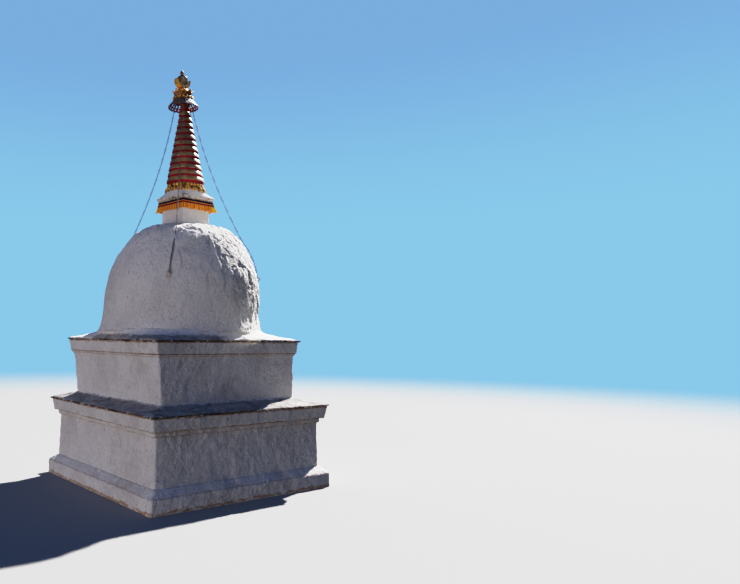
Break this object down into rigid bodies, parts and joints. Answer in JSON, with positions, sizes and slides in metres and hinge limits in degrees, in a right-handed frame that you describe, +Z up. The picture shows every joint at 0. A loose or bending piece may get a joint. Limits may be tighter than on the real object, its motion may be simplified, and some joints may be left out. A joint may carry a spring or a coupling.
{
  "type": "stupa",
  "caption": "Whitewashed stupa: stepped square terraces with slate edges, a dome, a square block with a cloth valance, and a ringed spire with umbrella, crescent and sun, held by chains.",
  "frame": {"origin": "middle of the base step's underside, at ground level", "axes": "+Z up along the spire; -Y is the front, and the terraces' sides run along X and Y"},
  "size_m": [4.314, 4.314, 8.872],
  "materials": {
    "whitewash": "matte limewash over rough mud plaster",
    "mud_weathering": "matte weathered mud plaster",
    "slate": "rough split slate",
    "valance_cloth": "woven cotton, matte",
    "crimson_paint": "matte crimson paint on clay",
    "ochre_paint": "worn ochre and gold paint on clay",
    "gilt_clay": "worn gold paint on clay",
    "pale_metal": "pale sheet metal, weathered",
    "red_metal": "red brown paint on metal, worn",
    "gilt_metal": "gilt metal, dulled",
    "iron": "weathered black iron"
  },
  "bodies": {
    "root": {"base_step": "whitewash", "lower_terrace_wall": "whitewash", "lower_terrace_fillet": "whitewash", "lower_terrace_cornice": "whitewash", "upper_terrace_wall": "whitewash", "upper_terrace_cornice": "whitewash", "dome": "whitewash", "harmika_neck": "whitewash", "harmika_cornice": "whitewash", "lower_terrace_ledge": "mud_weathering", "upper_terrace_ledge": "mud_weathering", "lower_terrace_slates": "slate", "upper_terrace_slates": "slate", "valance_front": "valance_cloth", "valance_right": "valance_cloth", "valance_back": "valance_cloth", "valance_left": "valance_cloth", "spire_core": "crimson_paint", "spire_lotus": "gilt_clay", "spire_beads": "gilt_clay", "spire_collar": "gilt_clay", "spire_ring_01": "ochre_paint", "spire_ring_02": "ochre_paint", "spire_ring_03": "ochre_paint", "spire_ring_04": "ochre_paint", "spire_ring_05": "ochre_paint", "spire_ring_06": "ochre_paint", "spire_ring_07": "ochre_paint", "spire_ring_08": "ochre_paint", "spire_ring_09": "ochre_paint", "spire_ring_10": "ochre_paint", "spire_ring_11": "ochre_paint", "spire_ring_12": "ochre_paint", "spire_ring_13": "ochre_paint", "umbrella_canopy": "pale_metal", "umbrella_fringe": "red_metal", "finial_beads": "gilt_metal", "crescent_moon": "gilt_metal", "sun_disc": "gilt_metal", "jewel": "gilt_metal", "finial_lotus": "red_metal", "stay_hub": "iron", "umbrella_spindle": "iron", "stay_front": "iron", "anchor_front": "iron", "stay_right": "iron", "anchor_right": "iron", "stay_back": "iron", "anchor_back": "iron", "stay_left": "iron", "anchor_left": "iron"}
  },
  "joints": []
}
